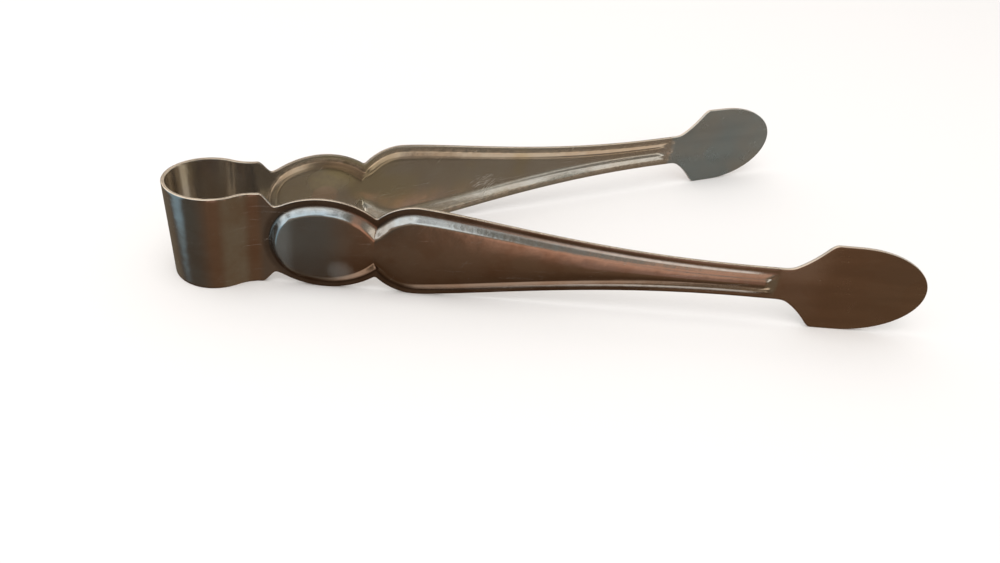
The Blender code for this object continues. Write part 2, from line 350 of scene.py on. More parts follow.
def eased(value, none, full):
    """The same, but 3 v^2 - 2 v^3, with v the portion."""
    v = portion(value, none, full)
    return v * v * (3.0 - 2.0 * v)


def lobe(m, offset, run, drop, inset):
    """Half-width of a lobe: an arc that touches the strip's edge and falls by drop in run, set in."""
    radius = (run * run + drop * drop) / (2.0 * drop)
    return m.half_strip - radius + np.sqrt(np.maximum((radius - inset) ** 2 - offset * offset, 0.0))


def half_width(strip, m, along, inset, ease=0.0):
    """Half-width of an arm's outline, set in by inset, at each distance past the first waist.

    A cosine shoulder, the boss's two arcs, the handle's arc and cosine taper and the leaf's flare follow
    each other, rounded together by soft_max and soft_min, and the leaf ends in a half ellipse. Ease adds to
    the rounding at the second waist.
    """
    fall = (1.0 - np.cos(math.pi * np.clip(1.0 + along / strip.shoulder_run, 0.0, 1.0))) / 2.0
    shoulder = m.half_strip - m.first_drop * fall - inset
    rising = lobe(m, along - strip.boss_rise, strip.boss_rise, m.first_drop, inset)
    falling = lobe(m, along - strip.boss_rise, strip.boss_fall, m.second_drop, inset)
    boss = np.where(along < strip.boss_rise, rising, falling)
    run = portion(along, m.handle, m.neck)
    narrowing = np.cos(math.pi / 2 * run**strip.taper_lean) ** 2
    taper = m.half_neck + (m.half_strip - m.half_neck) * narrowing - inset
    arc = lobe(m, along - m.handle, strip.handle_rise, m.second_drop, inset)
    handle = np.where(along < m.handle, arc, taper)
    run = np.clip((along - m.flare) / strip.flare_length, -FLARE_OVERRUN, 1.0 + FLARE_OVERRUN)
    hollow = 4.0 * strip.flare_hollow * run * (1.0 - run)
    flare = m.half_neck + (m.half_strip - m.half_neck) * run - hollow - inset
    leaf = soft_min(flare, m.half_strip - inset, strip.corner_round)
    first_round = strip.waist_round * np.clip(1.0 - inset / strip.border, LEAST_ROUND, 1.0)
    panel_round = strip.panel_waist_round * np.clip((inset - strip.border) / strip.bevel, 0.0, 1.0)
    root = soft_max(boss, shoulder, first_round)
    grip = soft_max(boss, handle, first_round + panel_round + ease)
    tip = soft_max(handle, leaf, strip.neck_round)
    width = np.where(along < strip.boss_rise, root, np.where(along < m.neck, grip, tip))
    run = np.clip((along - m.round) / strip.tip_round, 0.0, 1.0)
    return width * np.sqrt(1.0 - run * run)


def slope(rise, fillet):
    """Height up a straight slope from 0 to 1 with parabolas for corners, fillet wide on either side."""
    foot = np.clip(rise + fillet, 0.0, None) ** 2 / (4.0 * fillet)
    up = np.where(rise < fillet, foot, rise)
    top = 1.0 - np.clip(1.0 - rise + fillet, 0.0, None) ** 2 / (4.0 * fillet)
    return np.where(rise < 0.5, up, np.where(rise > 1.0 - fillet, top, up))


def bevel_width(strip, m, along):
    """Width of the slope at the panel's sides: even up to the handle's widest place, then fading evenly."""
    fade = portion(along, m.handle, m.neck)
    return strip.bevel + (strip.neck_bevel - strip.bevel) * fade


def panel_rise(strip, m, along, across, inner):
    """How far up the slope each place is, as a share: under 0 on the border, over 1 on the panel.

    It is the distance in from the slope's foot over the slope's width, measured from the arm's edge, from
    the boss's round end and from the square end at the neck, and the least of the three counts. The round
    end's own measure grows by its release times (1 - b)^4 towards its sides, with b the cosine of the way
    round it, so it lets go there. Where inner is 1, on the inside of the sheet, the slope starts sooner, is
    longer and is rounder at the waist.
    """
    foot = half_width(strip, m, along, strip.border)
    inset = strip.border + bevel_width(strip, m, along)
    top = half_width(strip, m, along, inset, inner * strip.inner_waist_round)
    side = (foot - np.abs(across)) / np.maximum(foot - top, MERGE)
    out = np.maximum(np.hypot(along - m.boss_end, across), MERGE)
    away = 1.0 - np.clip((m.boss_end - along) / out, 0.0, 1.0)
    boss_end = (strip.boss_end_radius - out) / strip.boss_end_bevel + strip.boss_end_release * away**4
    boss_end = np.where(along < m.boss_end, boss_end, FAR_UP)
    neck_end = (m.stop - along) / strip.stop_bevel
    rise = soft_min(soft_min(side, boss_end, strip.boss_end_soft), neck_end, strip.panel_stop_soft)
    return (rise + inner * strip.inner_start) / (1.0 + inner * strip.inner_spread)


def panel_lift(strip, m, along, across, inner):
    """How far the sheet is pressed out: the panel's height times the slope.

    The height is a depth that fades towards the neck, plus a crown (1 - v^2) across the panel, plus a dome
    (1 - u^2 - v^2)^2 on the boss, with u and v the shares of the way out along and across.
    """
    fade = portion(along, m.handle, m.stop)
    depth = strip.panel_depth + (strip.neck_depth - strip.panel_depth) * fade
    inset = strip.border + bevel_width(strip, m, along)
    top = np.maximum(half_width(strip, m, along, inset, strip.panel_waist_round), MERGE)
    crown = np.clip(1.0 - (across / top) ** 2, 0.0, 1.0)
    dome = np.clip(crown - ((along - strip.boss_rise) / strip.boss_fall) ** 2, 0.0, 1.0) ** 2
    height = depth + strip.panel_crown * crown + strip.boss_dome * dome
    return height * slope(panel_rise(strip, m, along, across, inner), strip.bevel_round)


def even(start, stop, step):
    """Even places from start to stop, without stop, no further apart than step."""
    places = max(math.ceil((stop - start) / step), 1)
    return np.linspace(start, stop, places, endpoint=False)


def bow_stations(strip, m):
    """Distances past the first waist of the sections of half the bow, from the crown to mid cheek."""
    seam = strip.seam_step
    start, stop = -m.waist, m.cheek_middle - m.waist
    inner = even(start + seam, stop - seam, strip.bend_step)
    return np.concatenate([[start], inner, [stop - seam, stop]])


def arm_stations(strip, m):
    """Distances past the first waist of an arm's sections, closer where its outline or its panel turns."""
    start, border = m.cheek_middle - m.waist, strip.border
    bend, fine, plain = strip.bend_step, strip.fine_step, strip.plain_step
    waist, leaf = m.second_waist, m.corner + strip.corner_round
    ends = (start + strip.seam_step, -strip.shoulder_run, m.boss_end, waist - border, waist, waist + border)
    ends = (*ends, m.handle, m.neck, leaf, m.round)
    steps = (bend, fine, bend, fine, fine, bend, plain, fine, plain)
    runs = [even(near, far, step) for near, far, step in zip(ends, ends[1:], steps)]
    turn = np.linspace(0.0, math.pi / 2, strip.tip_steps + 1)
    return np.concatenate([[start], *runs, m.round + strip.tip_round * np.sin(turn)])


def waist_shift(strip, m, inset):
    """How far along the arm the second waist moves when the outline is set in.

    The waist is where the boss's and the handle's arcs cross, and an inset takes the same off both radii.
    """
    boss = (strip.boss_fall**2 + m.second_drop**2) / (2.0 * m.second_drop)
    handle = (strip.handle_rise**2 + m.second_drop**2) / (2.0 * m.second_drop)
    dx, dy = m.handle - strip.boss_rise, boss - handle
    apart = dx * dx + dy * dy
    reach = (apart + (boss - inset) ** 2 - (handle - inset) ** 2) / (2.0 * apart)
    height = np.sqrt(np.maximum((boss - inset) ** 2 / apart - reach * reach, 0.0))
    return strip.boss_rise + reach * dx - height * dy - m.second_waist


def half_section(strip, m, along):
    """Rows from the cut edge in to the middle of the sheet, at each station.

    Returns places along and across, how far each lies inside the sheet's face, and how far in from the cut
    edge. The first rows go round the corner of the edge, along the outline's own normal. The next follow
    the outline set in, through the border and the slope, and the last divide the panel's face evenly.
    """
    edge = half_width(strip, m, along, 0.0)
    step_along, step_across = np.gradient(along), np.gradient(edge)
    size = np.hypot(step_along, step_across)
    into_along, into_across = step_across / size, -step_along / size
    if along[-1] > m.round:
        into_along[-1], into_across[-1] = -1.0, 0.0
    turn = np.linspace(0.0, math.pi / 2, strip.edge_rows + 1)
    inset = strip.edge_round * (1.0 - np.cos(turn))
    sunk = strip.edge_round * (1.0 - np.sin(turn))
    edge_along = along[:, None] + into_along[:, None] * inset
    edge_across = edge[:, None] + into_across[:, None] * inset

    bevel = bevel_width(strip, m, along)
    fillet = bevel * strip.bevel_round
    foot, top = strip.border - fillet, strip.border + bevel + fillet
    border = np.linspace(strip.edge_round + 0.0 * foot, foot, strip.border_rows + 1, axis=1)[:, 1:]
    depth = np.concatenate([border, np.linspace(foot, top, strip.bevel_rows + 1, axis=1)[:, 1:]], axis=1)
    near = np.clip(1.0 - np.abs(along - m.second_waist) / strip.border, 0.0, 1.0)[:, None]
    body_along = along[:, None] + waist_shift(strip, m, depth) * near
    body_across = half_width(strip, m, body_along, depth)
    leaf = (along > m.corner)[:, None]
    inner_share = (m.half_strip - depth) / (m.half_strip - strip.edge_round)
    body_across = np.where(leaf, edge_across[:, -1:] * inner_share, body_across)
    body_along = np.where(leaf, edge_along[:, -1:] + 0.0 * depth, body_along)

    inward = np.linspace(1.0, 0.0, strip.face_rows + 1)[None, 1:]
    face_across = body_across[:, -1:] * inward
    face_along = body_along[:, -1:] + 0.0 * inward
    rows = np.concatenate([edge_along, body_along, face_along], axis=1)
    across = np.concatenate([edge_across, body_across, face_across], axis=1)
    flat = np.zeros(across.shape[1] - len(sunk))
    far_in = np.concatenate([inset + 0.0 * edge_along, depth, top[:, None] + 0.0 * face_across], axis=1)
    return rows, across, np.concatenate([sunk, flat]), far_in


def full_loop(half, sign=1.0):
    """A half section's values carried round the section: up the outer face, then down the inner one."""
    outer = np.concatenate([sign * half, half[..., -2::-1]], axis=-1)
    return np.concatenate([outer, outer[..., ::-1]], axis=-1)


def finish_marks(strip, m, rows, across, rise, into, inner):
    """What the finish needs to know of each point, by the names in MARKS.

    With r the way up the slope and s a reach, the ridge is exp(-((r - 1) / s)^2) - exp(-(r / s)^2), so 1 at
    the slope's top and -1 at its foot, and the opposite inside. The bevel is exp(-((r - 1/2) / s)^2). The
    others go from 0 to 1 in eased steps: on the boss, in its haze and painted reflection by the bow and low
    down, in the painted shade on the flat border, on the cut edge, on the leaf and on the inside, which
    counts for less round the bow.
    """
    ridge_reach, bevel_reach = 0.3, 0.4
    ridge = np.exp(-(((rise - 1.0) / ridge_reach) ** 2)) - np.exp(-((rise / ridge_reach) ** 2))
    outer = 1.0 - inner
    on_panel = eased(rise, 0.0, 1.0)
    boss, half = strip.boss_rise, m.half_strip
    # Haze on the boss by the bow and low down, which also paints a lighter reflection there
    by_bow = eased(rows, 0.45 * boss, 0.15 * boss)
    low_along = (rows - 1.35 * boss) / (0.34 * boss)
    low_across = (across + 0.52 * half) / (0.30 * half)
    low_down = eased(low_along**2 + low_across**2, 1.0, 0.0)
    taper = (rows - m.handle) / (m.neck - m.handle)
    # Painted shade on the flat border round the panel, outside, fading towards the neck
    margin = eased(rise, 0.2, -0.2) * eased(rise, -1.7 / 1.2, -0.7 / 1.2) * eased(taper, 0.84, 0.64)
    arm = eased(rows, -strip.root_radius, 0.0)
    values = (
        (outer - inner) * ridge,
        np.exp(-(((rise - 0.5) / bevel_reach) ** 2)),
        eased(rows, 1.8 * boss, 0.8 * boss) * on_panel,
        (by_bow + low_down) * on_panel * outer,
        margin * outer,
        eased(into, strip.edge_round, 0.0),
        eased(rows, m.stop - strip.border / 2, m.stop + strip.border / 2),
        inner * (0.45 + 0.55 * arm),
    )
    return dict(zip(MARKS, values))


def sheet_grid(strip, m, along, side):
    """Points of a stretch of sheet, on a grid of stations by places round the section, and their marks.

    A point is the plan's own point moved along its normal by half the sheet, less the edge's round, out on
    the outer face and in on the inner one, and by the panel's lift, and raised to its place across the
    strip. Towards the crown, x also moves by the lean's tangent times the place across.
    """
    half_along, half_across, sunk, far_in = half_section(strip, m, along)
    rows = full_loop(half_along)
    across = full_loop(half_across, -1.0)
    face = np.repeat([1.0, -1.0], rows.shape[1] // 2)[None, :]
    shell = face * (m.half_sheet - full_loop(sunk))
    inner = (1.0 - face) / 2.0
    rise = panel_rise(strip, m, rows, across, inner)
    out = shell + panel_lift(strip, m, rows, across, inner)
    x, y, heading = plan_line(strip, m, m.waist + rows)
    x = x - math.tan(strip.bow_lean) * across * eased(rows, -strip.lean_start * m.waist, -m.waist)
    y = side * (y + np.cos(heading) * out)
    points = np.stack([x - np.sin(heading) * out, y, m.half_strip + across], axis=-1)
    layer = face * strip.strip_width + 0.0 * rows
    strip_place = np.stack([m.waist + rows, across + 0.0 * rows, layer], axis=-1)
    return points, strip_place, finish_marks(strip, m, rows, across, rise, full_loop(far_in), inner)


def sheet_mesh(name, points, strip_place, marks, side):
    """Closed mesh through a grid of sections: quads between sections, and quads across each cut end.

    Corners that meet at the end of the leaf are merged. The map lays the sheet out flat, sections along it.
    """
    stations, around = points.shape[:2]
    index = np.arange(stations * around).reshape(stations, around)
    after = np.roll(index, -1, axis=1)
    quads = np.stack([index[:-1], after[:-1], after[1:], index[1:]], axis=-1).reshape(-1, 4)
    k = np.arange(around // 2 - 1)
    cap = np.stack([k, around - 1 - k, around - 2 - k, k + 1], axis=-1)
    last = (stations - 1) * around
    faces = np.concatenate([quads, cap, cap[:, ::-1] + last])
    if side < 0:
        faces = faces[:, ::-1]

    spans = np.linspace(0.0, 1.0, stations), np.linspace(0.0, 1.0, around + 1)
    flat = np.stack(np.meshgrid(*spans, indexing="ij"), axis=-1)
    corners = np.stack([flat[:-1, :-1], flat[:-1, 1:], flat[1:, 1:], flat[1:, :-1]], axis=2)
    layout = np.concatenate([corners.reshape(-1, 4, 2), np.zeros((2 * len(cap), 4, 2))])
    if side < 0:
        layout = layout[:, ::-1]

    mesh = bpy.data.meshes.new(name)
    mesh.from_pydata(points.reshape(-1, 3), [], faces)
    flat_map = mesh.uv_layers.new(name="OFBake")
    flat_map.uv.foreach_set("vector", layout.astype(np.float32).ravel())
    vector = mesh.attributes.new("strip_place", "FLOAT_VECTOR", "POINT")
    vector.data.foreach_set("vector", strip_place.astype(np.float32).ravel())
    for key, values in marks.items():
        layer = mesh.attributes.new(key, "FLOAT", "POINT")
        layer.data.foreach_set("value", values.astype(np.float32).ravel())

    merged = bmesh.new()
    merged.from_mesh(mesh)
    bmesh.ops.remove_doubles(merged, verts=merged.verts, dist=MERGE)
    merged.to_mesh(mesh)
    merged.free()
    mesh.polygons.foreach_set("use_smooth", np.ones(len(mesh.polygons), dtype=bool))
    mesh.set_sharp_from_angle(angle=CREASE)
    return mesh


class Wire:
    """A node's output, for use in Python expressions: each operator adds its Math node."""

    def __init__(self, tree, socket=None):
        self.tree = tree
        self.socket = socket

    def node(self, kind, settings=None, sockets=None, out=0):
        """Add a node of a type, set its settings, then fill or link its sockets, and give one output."""
        made = self.tree.nodes.new("ShaderNode" + kind)
        for key, value in (settings or {}).items():
            setattr(made, key, value)
        for key, value in (sockets or {}).items():
            if isinstance(value, Wire):
                self.tree.links.new(value.socket, made.inputs[key])
            else:
                made.inputs[key].default_value = value
        return Wire(self.tree, made.outputs[out] if made.outputs else None)

    def math(self, operation, a, b=0.0):
        """A Math node on two values."""
        return self.node("Math", {"operation": operation}, {0: a, 1: b})

    def __add__(self, other):
        return self.math("ADD", self, other)

    __radd__ = __add__

    def __sub__(self, other):
        return self.math("SUBTRACT", self, other)

    def __rsub__(self, other):
        return self.math("SUBTRACT", other, self)

    def __mul__(self, other):
        return self.math("MULTIPLY", self, other)

    __rmul__ = __mul__

    def between(self, none, full):
        """0 at none and 1 at full, which may be the smaller, eased between them and held beyond."""
        settings = {"interpolation_type": "SMOOTHSTEP", "clamp": True}
        return self.node("MapRange", settings, {"Value": self, "From Min": none, "From Max": full})

    def over(self, start, full, fading, end):
        """1 on a stretch: eased from its start to where it is full, and from where it fades to its end."""
        return self.between(start, full) * self.between(end, fading)

    def mix(self, a, b):
        """Colour a where this value is 0, and b where it is 1."""
        settings = {"data_type": "RGBA", "clamp_factor": True}
        return self.node("Mix", settings, {0: self, 6: rgba(a), 7: rgba(b)}, 2)

    def part(self, number):
        """One coordinate of this vector."""
        return self.node("SeparateXYZ", None, {0: self}, number)

    def around(self, along, across, reach_along, reach_across):
        """1 at a place on this vector, less the squares of the shares of the way out, and never under 0."""
        off_along = (self.part(0) - along) * (1.0 / reach_along)
        off_across = (self.part(1) - across) * (1.0 / reach_across)
        return self.math("MAXIMUM", 1.0 - off_along * off_along - off_across * off_across, 0.0)

    def noise(self, scale, detail, roughness):
        """Noise over this vector."""
        sockets = {"Vector": self, "Scale": scale, "Detail": detail, "Roughness": roughness}
        return self.node("TexNoise", None, sockets)

    def streaks(self, turn, across, along):
        """Streaks over this vector, turned by an angle: noise with so many waves a metre each way."""
        sizes = (1.0 / along, 1.0 / across, 1.0 / across)
        sockets = {"Vector": self, "Rotation": (0.0, 0.0, turn), "Scale": sizes}
        return self.node("Mapping", {"vector_type": "TEXTURE"}, sockets).noise(1.0, 2.0, 0.5)


def rgba(value):
    """A colour for a socket: a wire as it is, and three numbers with full alpha."""
    return value if isinstance(value, Wire) else (*value, 1.0)


def painted(base, layers):
    """A colour with others laid over it in turn, each as far as its own cover from 0 to 1."""
    for cover, paint in layers:
        base = cover.mix(base, paint)
    return base


def new_tree(owner):
    """An empty node tree on a material or a world."""
    owner.use_nodes = True
    owner.node_tree.nodes.clear()
    return Wire(owner.node_tree)


def wear_and_light_masks(add, wear_and_light):
    """Where rubbing, dirt and painted light lie, from the mesh's marks, noises over the strip and the given
    places.
    """
    w = SimpleNamespace()
    for mark in MARKS:
        setattr(w, mark, add.node("Attribute", {"attribute_name": mark}, out=2))
    w.strip = add.node("Attribute", {"attribute_name": "strip_place"}, out=1)
    along, across = w.strip.part(0), w.strip.part(1)
    w.outside = 1.0 - w.inside
    w.patches = w.strip.noise(95.0, 5.0, 0.62)
    w.mottle = w.strip.noise(700.0, 4.0, 0.6)
    w.speck = w.strip.noise(2600.0, 2.0, 0.5)
    w.cloud = w.strip.noise(42.0, 3.0, 0.5)
    w.browned = w.patches.between(0.42, 0.68)
    # Patches of painted yellow reflection on the inside
    w.yellowed = w.strip.noise(70.0, 2.0, 0.4).between(0.50, 0.66)
    w.bands = w.leaf * w.strip.streaks(0.04, 330.0, 45.0).between(0.36, 0.64)

    rubbed = w.strip.noise(210.0, 3.0, 0.6).between(0.40, 0.62)
    hairs = w.strip.streaks(0.06, 5200.0, 60.0).between(0.66, 0.74)
    slants = w.strip.streaks(0.95, 4200.0, 90.0).between(0.70, 0.76)
    w.scratches = (hairs + slants) * rubbed * (1.0 - w.leaf * 0.85)
    steep = w.strip.streaks(0.55, 5200.0, 230.0).between(0.60, 0.67)
    level = w.strip.streaks(0.12, 5600.0, 260.0).between(0.62, 0.70)
    w.scuff = w.strip.around(*wear_and_light.scuff).between(0.0, 0.6) * w.inside * (steep + level)

    upper = across.between(*wear_and_light.upper)
    w.shaded = w.inside * upper
    w.neck = along.between(*wear_and_light.neck)
    w.plain_rim = along.between(*wear_and_light.plain_rim)
    w.crest = w.ridge.between(0.25, 0.95)
    w.groove = w.ridge.between(-0.2, -0.95) * along.between(*wear_and_light.groove_end)
    # Painted highlight at the foot of the slope by the neck
    w.foot_highlight = w.groove * w.outside * along.over(*wear_and_light.foot_highlight) * (0.5 + w.mottle * 0.7)
    # Painted highlight on the upper slope by the neck
    w.lit_slope = w.bevel * upper * w.outside * along.over(*wear_and_light.lit_slope)
    # Painted shade on the upper slope inside the boss
    w.shaded_slope = w.bevel * w.shaded * along.over(*wear_and_light.shaded_slope)
    # Painted shade on the slope at the boss's round end
    w.end_slope = w.bevel * w.outside * along.between(*wear_and_light.boss_end)
    # Painted light on the outside of the leaf by its root, more on its upper half
    w.lit_leaf_root = w.leaf * w.outside * along.between(*wear_and_light.lit_leaf_root) * (0.4 + upper * 0.6)
    # Painted shade inside the bend from the bow into the arm
    w.root = w.inside * along.over(*wear_and_light.root)
    # Painted yellow reflection inside the boss
    w.yellow_reflection = w.strip.around(*wear_and_light.yellow_reflection) * w.inside * (0.5 + w.mottle)
    # Painted copper reflection inside the boss
    w.copper_reflection = w.strip.around(*wear_and_light.copper_reflection).between(0.0, 0.5) * w.inside
    return w


def sheet_colour(w, finish):
    """Browned plate under painted reflections, dirt, painted shade, rubbed metal, painted highlights, bare
    edges, pits.
    """
    plate = (w.browned * 0.6 + w.mottle * 0.2 + w.leaf * 0.8).mix(finish.plate, finish.tarnish)
    # Painted reflection on the inner faces: olive, browner by the neck and cool grey in the leaf
    inner_reflection = (w.neck * 0.6).mix(finish.inner_reflection, finish.tarnish)
    inner_reflection = (w.leaf * (0.55 + w.cloud.between(0.36, 0.64) * 0.45)).mix(inner_reflection, finish.haze_and_reflection)
    # Painted yellow reflection on the inside, in patches and over the boss
    yellowed = w.yellowed * (1.0 - w.leaf) * (0.6 - w.neck * 0.5) + w.boss * w.mottle * 0.5
    # Painted shade on the border, inside the bend by the bow and on the boss's end slope, with real streaks
    # on the leaf
    shade_and_streaks = w.margin * (0.15 + w.patches * 0.7) + w.root * 0.45 + w.end_slope * 0.55 + w.bands * 0.12
    # Dirt in the groove, with painted shade on the upper half inside and on the upper slope inside the boss
    dust_and_shade = w.groove * (0.2 + w.mottle * 0.5 + w.shaded * 0.2 - w.inside * 0.3) + w.shaded_slope * 0.58
    # Rubbed crests, with a painted highlight along them that is stronger inside
    rubbed = w.crest * w.mottle.between(0.35, 0.60) * (0.10 + w.inside * 0.5)
    layers = (
        (w.inside * (0.50 + w.patches * 0.5) * (1.0 - w.bevel * 0.7), inner_reflection),
        # Cool grey haze on the outside of the boss, partly a painted reflection
        (w.boss * w.outside * (0.35 + w.cloud * 0.5), finish.haze_and_reflection),
        (w.inside * yellowed + w.yellow_reflection * 0.6, finish.yellow_reflection),
        # Painted copper reflection, in the tarnish colour
        (w.copper_reflection * 0.8, finish.tarnish),
        (shade_and_streaks, finish.grime_and_shade),
        (dust_and_shade, finish.grime_and_shade),
        # Painted highlight on the lit slope and the leaf by its root, and rubbed crests with a highlight
        # along them
        (rubbed + w.lit_slope * 0.7 + w.lit_leaf_root * 0.15, finish.rubbed_metal_and_highlight),
        # Painted highlight at the slope's foot by the neck, and real scuffs
        (w.foot_highlight + w.scuff * 0.5, finish.foot_highlight),
        (w.cut * (0.7 - w.leaf * 0.25), finish.cut),
        # The inner half of the cut edge is darker, less so along the handle
        (w.cut * w.inside * (0.75 - w.plain_rim * 0.6), finish.grime_and_shade),
        (w.speck.between(0.70, 0.74) * (1.0 - w.leaf * 0.8) * 0.35, finish.grime_and_shade),
    )
    return painted(plate, layers)


def sheet_surface(w, finish):
    """Roughness, metal and height: satin leaves, haze, dust, waves, chatter, grain and scratches."""
    gloss = finish.gloss + w.mottle * 0.06 + w.scratches * 0.10 + w.groove * 0.08 + w.browned * 0.03
    rough = gloss + (w.leaf + w.inside * 0.1) * (finish.satin - finish.gloss) + w.cut * 0.10
    # The inside is less metallic, together with its painted reflections
    inner_reflection = w.inside * (0.16 + w.leaf * 0.05 + w.boss * 0.05) + w.yellow_reflection * 0.17 + w.copper_reflection * 0.07
    haze = w.boss * 0.03 + w.haze_and_reflection * (0.04 + w.cloud * 0.12) + w.lit_leaf_root * 0.05 + w.cut * w.leaf * 0.2
    dust = w.speck.between(0.755, 0.775) * (1.0 - w.leaf) * 0.4
    metal = 1.0 - inner_reflection - haze - dust - w.scratches * 0.16 - w.foot_highlight * 0.7 - w.scuff * 0.35
    slow, quick = w.strip.noise(120.0, 2.0, 0.5), w.strip.noise(430.0, 2.0, 0.5)
    wave = slow * finish.dents + quick * (finish.dents * 0.22) + w.mottle * finish.grain
    chatter = w.bevel * w.strip.noise(1100.0, 2.0, 0.6) * (finish.dents * 0.16)
    height = wave * (1.0 - w.leaf * 0.6) + chatter - w.scratches * finish.grain
    return rough, metal, height


def plated_sheet(finish, wear_and_light):
    """Old plated sheet: polished, browned and hazed in patches, rubbed on its ridges, dull in grooves;
    painted highlights, reflections and shade.
    """
    material = bpy.data.materials.new(FINISH)
    add = new_tree(material)
    w = wear_and_light_masks(add, wear_and_light)
    rough, metal, height = sheet_surface(w, finish)
    bump = add.node("Bump", None, {"Strength": 1.0, "Distance": 1.0, "Height": height})
    sockets = {"Base Color": sheet_colour(w, finish), "Roughness": rough, "Metallic": metal, "Normal": bump}
    shader = add.node("BsdfPrincipled", None, sockets)
    add.node("OutputMaterial", None, {"Surface": shader})
    return material


def sheet_finish(scene):
    """The plated sheet's material, made once for all the stretches."""
    return bpy.data.materials.get(FINISH) or plated_sheet(scene.tongs_finish, scene.tongs_wear)


def new_piece(name, mesh, material):
    """A finished piece at the origin, with its place in its mesh."""
    mesh.materials.append(material)
    piece = bpy.data.objects.new(name, mesh)
    bpy.context.scene.collection.objects.link(piece)
    return piece


def plan_point(strip, m, distance, side):
    """Point of the middle of the sheet that far from the crown, half way up the strip."""
    x, y, _ = plan_line(strip, m, np.array([distance]))
    return (float(x[0]), side * float(y[0]), m.half_strip)


def stretch(scene, name, end, side, stations, reach, bodies):
    """One stretch of sheet, bent across the flexure line between two bodies, in place of their nodes."""
    strip = scene.tongs_strip
    m = marks_of(strip)
    points, strip_place, marks = sheet_grid(strip, m, stations(strip, m), side)
    mesh = sheet_mesh(name, points, strip_place, marks, side)
    piece = new_piece(f"{end}_{name}", mesh, sheet_finish(scene))
    start, stop = (plan_point(strip, m, share_of * m.free_bow, side) for share_of in reach)
    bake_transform(piece)
    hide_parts(*bodies)


class TONGS_OT_bow(bpy.types.Operator):
    """Draw the two halves of the spring bow, from the crown to half way along each cheek"""

    bl_idname = "tongs.bow"
    bl_label = "Bow"

    def execute(self, context):
        for end, side in SIDES:
            bodies = ("bow_back", f"{end}_bow_cheek")
            stretch(context.scene, "bow_sheet", end, side, bow_stations, (0.0, 0.5), bodies)
        return {"FINISHED"}


class TONGS_OT_arms(bpy.types.Operator):
    """Draw the two arms, from half way along each cheek to the end of the leaf"""

    bl_idname = "tongs.arms"
    bl_label = "Arms"

    def execute(self, context):
        for end, side in SIDES:
            bodies = (f"{end}_bow_cheek", f"{end}_arm")
            stretch(context.scene, "arm_sheet", end, side, arm_stations, (0.5, 1.0), bodies)
        return {"FINISHED"}


def pale_floor(stage):
    """Plain floor, matt and nearly white. The sheet mirrors the room and not the floor."""
    half = stage.floor_size / 2
    mesh = bpy.data.meshes.new("floor")
    corners = [(-half, -half, 0.0), (half, -half, 0.0), (half, half, 0.0), (-half, half, 0.0)]
    mesh.from_pydata(corners, [], [(0, 1, 2, 3)])
    material = bpy.data.materials.new("pale_floor")
    add = new_tree(material)
    shader = add.node("BsdfDiffuse", None, {"Color": rgba(stage.floor)})
    add.node("OutputMaterial", None, {"Surface": shader})
    floor = new_piece("floor", mesh, material)
    floor.visible_glossy = False


def room_below(stage, x, y, z):
    """The room below eye level, by direction: x runs to the right, y to the back and z up, from -1 to 1.

    Warm ground in front darkens towards the tongs. It is slate on the left with a cool streak at its end,
    olive on the right with a pale wall at its end, and plain behind. Copper-coloured light lies along the
    front, and a pale table lies close by.
    """
    ground = x.between(-0.72, 0.0).mix(stage.slate, stage.room)
    copper = x.over(0.455, 0.485, 0.51, 0.53) * z.over(-0.415, -0.38, -0.30, -0.24) * (0.0 - y)
    table_right = x.between(0.31, 0.37) * y.between(0.10, -0.10) * (x * 0.6 - z).between(1.08, 1.12)
    layers = (
        (z.between(-0.52, -0.80), stage.deep),
        (x.between(0.10, 0.50), stage.olive),
        (y.between(0.10, 0.50), stage.far_ground),
        (x.between(-0.79, -0.86), stage.blind),
        (x.between(0.75, 0.81) * y.over(-0.45, -0.37, -0.15, -0.05), stage.wall),
        (x.over(-0.08, 0.0, 0.10, 0.26) * z.between(-0.50, -0.38) * y.between(*FRONT), stage.glow),
        (copper, stage.copper),
        (x.over(-0.18, 0.12, 0.21, 0.27) * y.between(0.40, 0.05) * z.between(-0.84, -0.93), stage.table),
        (table_right, stage.table_right),
    )
    return painted(ground, layers)


def room_above(stage, x, y, z, panes):
    """The room above eye level, by direction.

    A cool window with panes lies on the left, and the viewer's own grey shape on the right. Below them in
    front lie a dim warm light and, on the right, a plain pale window. The ceiling is cream with a dark
    strip, and the back is a dark wall with cream light high up.
    """
    ahead = y.between(*FRONT).between(0.0, 0.3)
    window = (0.30 + panes * 0.70).mix(stage.shade, stage.sky)
    ceiling = (x.between(0.22, 0.08) + x.between(0.42, 0.48)).mix(stage.ceiling, stage.shelf)
    layers = (
        (x.between(-0.06, 0.0), stage.viewer),
        (z.between(0.32, 0.20) * ahead, stage.skirting),
        (x.between(0.28, 0.42) * z.between(0.40, 0.28) * ahead, stage.porch),
        (z.between(0.62, 0.80), ceiling),
        (y.between(0.30, 0.55), z.between(0.36, 0.44).mix(stage.shade, stage.shelf)),
    )
    return painted(window, layers)


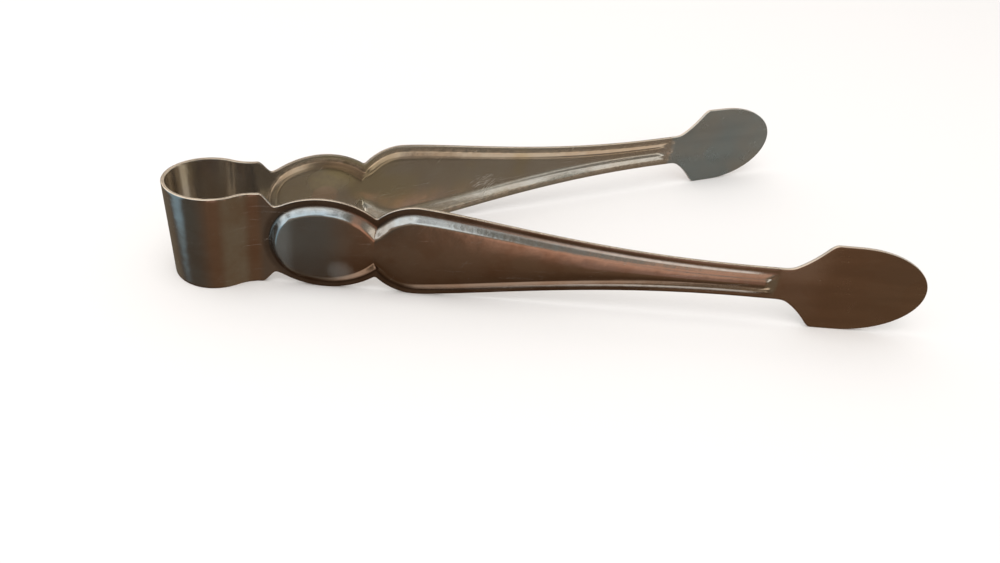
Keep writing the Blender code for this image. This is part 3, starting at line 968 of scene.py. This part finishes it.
def room_light(scene, stage):
    """The room that the sheet mirrors, below and above eye level, with what lies across that level.

    That is a slanting copper-coloured streak in front, a pale window behind on the right and a small bright
    one straight to the right. What is matt gets plain soft light instead, and so does the backdrop.
    """
    world = bpy.data.worlds.new("room")
    scene.world = world
    add = new_tree(world)
    direction = add.node("TexCoord", None, None, 0)
    x, y, z = (direction.part(number) for number in range(3))
    panes = direction.noise(4.5, 2.0, 0.5).between(0.40, 0.47)
    room = z.between(-0.06, 0.08).mix(room_below(stage, x, y, z), room_above(stage, x, y, z, panes))
    slant = (z - x * 2.0).over(-0.26, -0.06, 0.14, 0.24)
    layers = (
        (slant * x.over(-0.18, -0.08, 0.04, 0.34) * y.between(*FRONT), stage.copper),
        (x.between(0.70, 0.76) * y.between(0.30, 0.42) * z.over(-0.22, -0.12, 0.40, 0.46), stage.porch),
        (x.between(0.94, 0.97) * z.over(-0.02, 0.04, 0.12, 0.19), stage.far_window),
        (add.node("LightPath", None, None, "Is Diffuse Ray"), stage.studio),
        (add.node("LightPath", None, None, "Is Camera Ray"), stage.studio),
    )
    shader = add.node("Background", None, {"Color": painted(room, layers), "Strength": 1.0})
    add.node("OutputWorld", None, {"Surface": shader})


def held(scene, name, data, location, turn):
    """A lamp or a camera at its place, turned by a quaternion."""
    holder = bpy.data.objects.new(name, data)
    holder.location = location
    holder.rotation_mode = "QUATERNION"
    holder.rotation_quaternion = turn
    scene.collection.objects.link(holder)
    return holder


def overhead_lamp(scene, stage):
    """A broad lamp above, for the floor and its soft shadow."""
    lamp = bpy.data.lights.new("overhead_lamp", "AREA")
    lamp.shape = "DISK"
    lamp.size = stage.lamp_size
    lamp.energy = stage.lamp_power
    turn = (-Vector(stage.lamp_place)).to_track_quat("-Z", "Y")
    held(scene, "overhead_lamp", lamp, stage.lamp_place, turn).visible_glossy = False


def picture_camera(scene, stage):
    """The camera, turned from its aim by the roll about its line of sight."""
    data = bpy.data.cameras.new("camera")
    data.sensor_width = stage.sensor
    data.lens = stage.lens
    data.clip_start = stage.nearest
    sight = Vector(stage.camera_aim) - Vector(stage.camera_place)
    turn = sight.to_track_quat("-Z", "Y") @ Quaternion((0.0, 0.0, 1.0), stage.camera_roll)
    scene.camera = held(scene, "camera", data, stage.camera_place, turn)


class TONGS_OT_stage(bpy.types.Operator):
    """Set up the floor, the light and the camera"""

    bl_idname = "tongs.stage"
    bl_label = "Stage"

    def execute(self, context):
        scene = context.scene
        stage = scene.tongs_stage
        scene.view_settings.view_transform = "Standard"
        pale_floor(stage)
        room_light(scene, stage)
        overhead_lamp(scene, stage)
        picture_camera(scene, stage)
        return {"FINISHED"}


class TONGS_PT_panel(bpy.types.Panel):
    """The tongs' operators and sizes"""

    bl_idname = "TONGS_PT_panel"
    bl_label = "Bow tongs"
    bl_space_type = "VIEW_3D"
    bl_region_type = "UI"
    bl_category = "Tongs"

    def draw(self, context):
        for operator in OPERATORS:
            self.layout.operator(operator.bl_idname)
        for group in GROUPS:
            values = getattr(context.scene, GROUPS[group])
            for key in group.__annotations__:
                self.layout.prop(values, key)


GROUPS = {
    TongsStrip: "tongs_strip",
    TongsFinish: "tongs_finish",
    TongsWearAndLight: "tongs_wear",
    TongsStage: "tongs_stage",
}
OPERATORS = (TONGS_OT_bow, TONGS_OT_arms, TONGS_OT_stage)


def register():
    """Register the classes and give the scene its values."""
    for group, key in GROUPS.items():
        bpy.utils.register_class(group)
        setattr(bpy.types.Scene, key, PointerProperty(type=group))
    for item in (*OPERATORS, TONGS_PT_panel):
        bpy.utils.register_class(item)


def unregister():
    """Take the values and the classes away again."""
    for item in (TONGS_PT_panel, *reversed(OPERATORS)):
        bpy.utils.unregister_class(item)
    for group, key in GROUPS.items():
        delattr(bpy.types.Scene, key)
        bpy.utils.unregister_class(group)


def main():
    """Draw the tongs and the stage."""
    register()
    bpy.ops.tongs.bow()
    bpy.ops.tongs.arms()
    bpy.ops.tongs.stage()


if __name__ == "__main__":
    main()
